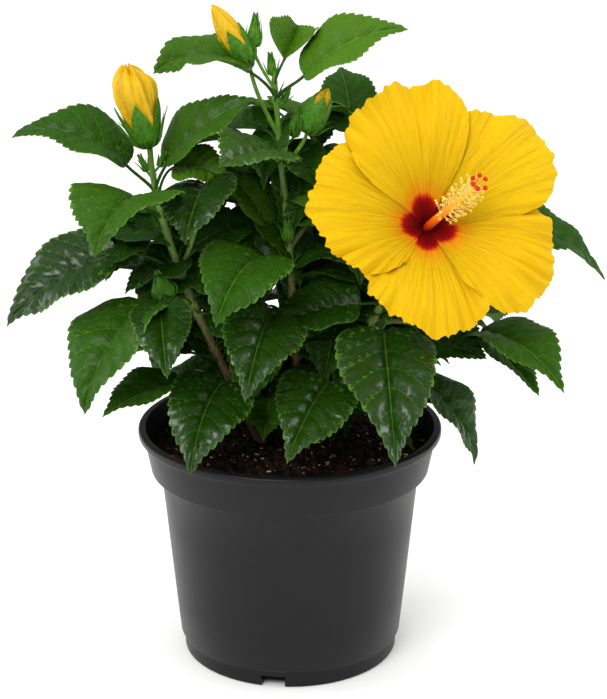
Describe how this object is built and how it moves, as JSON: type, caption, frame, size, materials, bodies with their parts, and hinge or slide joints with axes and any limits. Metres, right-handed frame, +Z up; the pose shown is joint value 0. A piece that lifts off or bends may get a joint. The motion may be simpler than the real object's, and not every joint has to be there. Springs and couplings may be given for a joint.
{
  "type": "potted hibiscus shrub",
  "caption": "Young hibiscus shrub with glossy toothed leaves, furled buds and a large open yellow bloom, growing in a round tapered nursery pot of black plastic.",
  "frame": {"origin": "centre of the flat underside of the pot, on the surface that it stands on", "axes": "+Z up out of the pot, +X to the right seen from the front, +Y to the back; the bloom faces -Y"},
  "size_m": [0.3187, 0.1954, 0.357],
  "materials": {
    "pot_plastic": "injection-moulded black polypropylene with a soft satin sheen",
    "potting_mix": "coarse moist peat and bark with pale chips",
    "stem_wood": "thin brown-grey bark with fine cracks, green towards the tips",
    "green_stalk": "smooth green skin of young stalks",
    "leaf": "glossy dark green with light veins and toothed edges",
    "petal": "soft golden yellow petal with fine pleats and a crimson eye",
    "calyx": "green sepals with a fine matt down",
    "bud": "furled yellow petals in green sepals",
    "stamen_column": "waxy orange column with pale yellow stamens and red pads"
  },
  "bodies": {
    "root": {"back_bough": "stem_wood", "bloom": "petal", "bloom_calyx": "calyx", "bloom_column": "stamen_column", "centre_bough": "stem_wood", "centre_stem": "stem_wood", "foliage_back_high": "leaf", "foliage_back_left_high": "leaf", "foliage_back_left_low": "leaf", "foliage_back_left_mid": "leaf", "foliage_back_low": "leaf", "foliage_back_mid": "leaf", "foliage_back_right_high": "leaf", "foliage_back_right_low": "leaf", "foliage_back_right_mid": "leaf", "foliage_back_top": "leaf", "foliage_centre_back_left": "leaf", "foliage_centre_glossy": "leaf", "foliage_centre_heart": "leaf", "foliage_centre_low": "leaf", "foliage_centre_rim": "leaf", "foliage_centre_shaded": "leaf", "foliage_centre_shoulder": "leaf", "foliage_centre_upright": "leaf", "foliage_left_behind": "leaf", "foliage_left_far": "leaf", "foliage_left_front": "leaf", "foliage_left_hanging": "leaf", "foliage_left_inner_back": "leaf", "foliage_left_inner_tip": "leaf", "foliage_left_low": "leaf", "foliage_left_rim": "leaf", "foliage_left_shoulder": "leaf", "foliage_left_tip": "leaf", "foliage_left_twig": "leaf", "foliage_right_behind_bloom": "leaf", "foliage_right_far": "leaf", "foliage_right_far_low": "leaf", "foliage_right_front": "leaf", "foliage_right_rim": "leaf", "foliage_right_under_bloom": "leaf", "foliage_top_back": "leaf", "foliage_top_left": "leaf", "foliage_top_right": "leaf", "foliage_upper_right": "leaf", "left_bud": "bud", "left_stem": "stem_wood", "left_twig": "stem_wood", "pot": "pot_plastic", "right_bough": "stem_wood", "right_bud": "bud", "right_bud_stalk": "green_stalk", "right_stem": "stem_wood", "small_bud": "bud", "small_bud_stalk": "green_stalk", "soil": "potting_mix", "top_bud": "bud", "top_bud_stalk": "green_stalk"}
  },
  "joints": []
}
